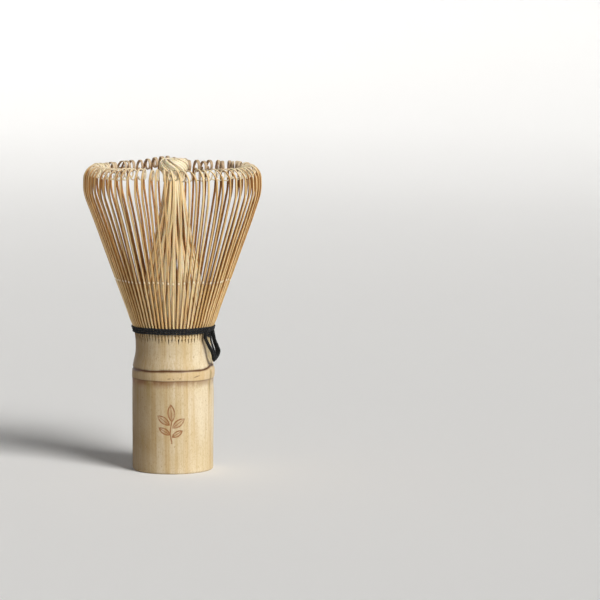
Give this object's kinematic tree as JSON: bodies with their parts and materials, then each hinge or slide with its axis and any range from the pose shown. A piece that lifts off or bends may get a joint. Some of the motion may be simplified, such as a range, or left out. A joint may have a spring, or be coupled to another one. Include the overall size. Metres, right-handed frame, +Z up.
{
  "type": "bamboo tea whisk",
  "caption": "Matcha whisk cut from one bamboo culm: curled outer tines, a twisted inner bundle, black thread wound round their roots, and a hollow grip below the node.",
  "frame": {"origin": "centre of the culm's foot, on the surface that the whisk stands on", "axes": "+Z up the culm towards the tines, -Y towards the front, +X towards the thread's knot"},
  "size_m": [0.0614, 0.0614, 0.1068],
  "materials": {
    "bamboo_culm": "dried bamboo skin, satin",
    "bamboo_outer": "split bamboo, satin skin, dry flesh",
    "bamboo_inner": "split bamboo, dry flesh",
    "cotton_thread": "twisted black cotton"
  },
  "bodies": {
    "culm": {"handle": "bamboo_culm", "inner_tines_01": "bamboo_inner", "inner_tines_02": "bamboo_inner", "inner_tines_03": "bamboo_inner", "inner_tines_04": "bamboo_inner", "inner_tines_05": "bamboo_inner", "inner_tines_06": "bamboo_inner", "inner_tines_07": "bamboo_inner", "inner_tines_08": "bamboo_inner", "inner_tines_09": "bamboo_inner", "inner_tines_10": "bamboo_inner", "inner_tines_11": "bamboo_inner", "inner_tines_12": "bamboo_inner", "inner_tines_13": "bamboo_inner", "inner_tines_14": "bamboo_inner", "inner_tines_15": "bamboo_inner", "inner_tines_16": "bamboo_inner", "inner_tines_17": "bamboo_inner", "inner_tines_18": "bamboo_inner", "thread_weave": "cotton_thread", "thread_course_lower": "cotton_thread", "thread_course_middle": "cotton_thread", "thread_course_upper": "cotton_thread", "thread_knot": "cotton_thread", "thread_loop": "cotton_thread"},
    "outer_section_01": {"outer_tines_01": "bamboo_outer"},
    "outer_section_02": {"outer_tines_02": "bamboo_outer"},
    "outer_section_03": {"outer_tines_03": "bamboo_outer"},
    "outer_section_04": {"outer_tines_04": "bamboo_outer"},
    "outer_section_05": {"outer_tines_05": "bamboo_outer"},
    "outer_section_06": {"outer_tines_06": "bamboo_outer"},
    "outer_section_07": {"outer_tines_07": "bamboo_outer"},
    "outer_section_08": {"outer_tines_08": "bamboo_outer"},
    "outer_section_09": {"outer_tines_09": "bamboo_outer"},
    "outer_section_10": {"outer_tines_10": "bamboo_outer"},
    "outer_section_11": {"outer_tines_11": "bamboo_outer"},
    "outer_section_12": {"outer_tines_12": "bamboo_outer"},
    "outer_section_13": {"outer_tines_13": "bamboo_outer"},
    "outer_section_14": {"outer_tines_14": "bamboo_outer"},
    "outer_section_15": {"outer_tines_15": "bamboo_outer"},
    "outer_section_16": {"outer_tines_16": "bamboo_outer"},
    "outer_section_17": {"outer_tines_17": "bamboo_outer"},
    "outer_section_18": {"outer_tines_18": "bamboo_outer"}
  },
  "joints": [
    {"name": "tine_flex_01", "type": "hinge", "parent": "culm", "child": "outer_section_01", "pos_m": [0, -0.0136, 0.0486], "axis": [1, 0, 0], "range_deg": [-3, 6], "stiffness_Nm_per_rad": 0.0136},
    {"name": "tine_flex_02", "type": "hinge", "parent": "culm", "child": "outer_section_02", "pos_m": [0.00465, -0.01278, 0.0486], "axis": [0.9397, 0.342, 0], "range_deg": [-3, 6], "stiffness_Nm_per_rad": 0.0136},
    {"name": "tine_flex_03", "type": "hinge", "parent": "culm", "child": "outer_section_03", "pos_m": [0.00874, -0.01042, 0.0486], "axis": [0.766, 0.6428, 0], "range_deg": [-3, 6], "stiffness_Nm_per_rad": 0.0136},
    {"name": "tine_flex_04", "type": "hinge", "parent": "culm", "child": "outer_section_04", "pos_m": [0.01178, -0.0068, 0.0486], "axis": [0.5, 0.866, 0], "range_deg": [-3, 6], "stiffness_Nm_per_rad": 0.0136},
    {"name": "tine_flex_05", "type": "hinge", "parent": "culm", "child": "outer_section_05", "pos_m": [0.01339, -0.00236, 0.0486], "axis": [0.1736, 0.9848, 0], "range_deg": [-3, 6], "stiffness_Nm_per_rad": 0.0136},
    {"name": "tine_flex_06", "type": "hinge", "parent": "culm", "child": "outer_section_06", "pos_m": [0.01339, 0.00236, 0.0486], "axis": [-0.1736, 0.9848, 0], "range_deg": [-3, 6], "stiffness_Nm_per_rad": 0.0136},
    {"name": "tine_flex_07", "type": "hinge", "parent": "culm", "child": "outer_section_07", "pos_m": [0.01178, 0.0068, 0.0486], "axis": [-0.5, 0.866, 0], "range_deg": [-3, 6], "stiffness_Nm_per_rad": 0.0136},
    {"name": "tine_flex_08", "type": "hinge", "parent": "culm", "child": "outer_section_08", "pos_m": [0.00874, 0.01042, 0.0486], "axis": [-0.766, 0.6428, 0], "range_deg": [-3, 6], "stiffness_Nm_per_rad": 0.0136},
    {"name": "tine_flex_09", "type": "hinge", "parent": "culm", "child": "outer_section_09", "pos_m": [0.00465, 0.01278, 0.0486], "axis": [-0.9397, 0.342, 0], "range_deg": [-3, 6], "stiffness_Nm_per_rad": 0.0136},
    {"name": "tine_flex_10", "type": "hinge", "parent": "culm", "child": "outer_section_10", "pos_m": [0, 0.0136, 0.0486], "axis": [-1, 0, 0], "range_deg": [-3, 6], "stiffness_Nm_per_rad": 0.0136},
    {"name": "tine_flex_11", "type": "hinge", "parent": "culm", "child": "outer_section_11", "pos_m": [-0.00465, 0.01278, 0.0486], "axis": [-0.9397, -0.342, 0], "range_deg": [-3, 6], "stiffness_Nm_per_rad": 0.0136},
    {"name": "tine_flex_12", "type": "hinge", "parent": "culm", "child": "outer_section_12", "pos_m": [-0.00874, 0.01042, 0.0486], "axis": [-0.766, -0.6428, 0], "range_deg": [-3, 6], "stiffness_Nm_per_rad": 0.0136},
    {"name": "tine_flex_13", "type": "hinge", "parent": "culm", "child": "outer_section_13", "pos_m": [-0.01178, 0.0068, 0.0486], "axis": [-0.5, -0.866, 0], "range_deg": [-3, 6], "stiffness_Nm_per_rad": 0.0136},
    {"name": "tine_flex_14", "type": "hinge", "parent": "culm", "child": "outer_section_14", "pos_m": [-0.01339, 0.00236, 0.0486], "axis": [-0.1736, -0.9848, 0], "range_deg": [-3, 6], "stiffness_Nm_per_rad": 0.0136},
    {"name": "tine_flex_15", "type": "hinge", "parent": "culm", "child": "outer_section_15", "pos_m": [-0.01339, -0.00236, 0.0486], "axis": [0.1736, -0.9848, 0], "range_deg": [-3, 6], "stiffness_Nm_per_rad": 0.0136},
    {"name": "tine_flex_16", "type": "hinge", "parent": "culm", "child": "outer_section_16", "pos_m": [-0.01178, -0.0068, 0.0486], "axis": [0.5, -0.866, 0], "range_deg": [-3, 6], "stiffness_Nm_per_rad": 0.0136},
    {"name": "tine_flex_17", "type": "hinge", "parent": "culm", "child": "outer_section_17", "pos_m": [-0.00874, -0.01042, 0.0486], "axis": [0.766, -0.6428, 0], "range_deg": [-3, 6], "stiffness_Nm_per_rad": 0.0136},
    {"name": "tine_flex_18", "type": "hinge", "parent": "culm", "child": "outer_section_18", "pos_m": [-0.00465, -0.01278, 0.0486], "axis": [0.9397, -0.342, 0], "range_deg": [-3, 6], "stiffness_Nm_per_rad": 0.0136}
  ]
}
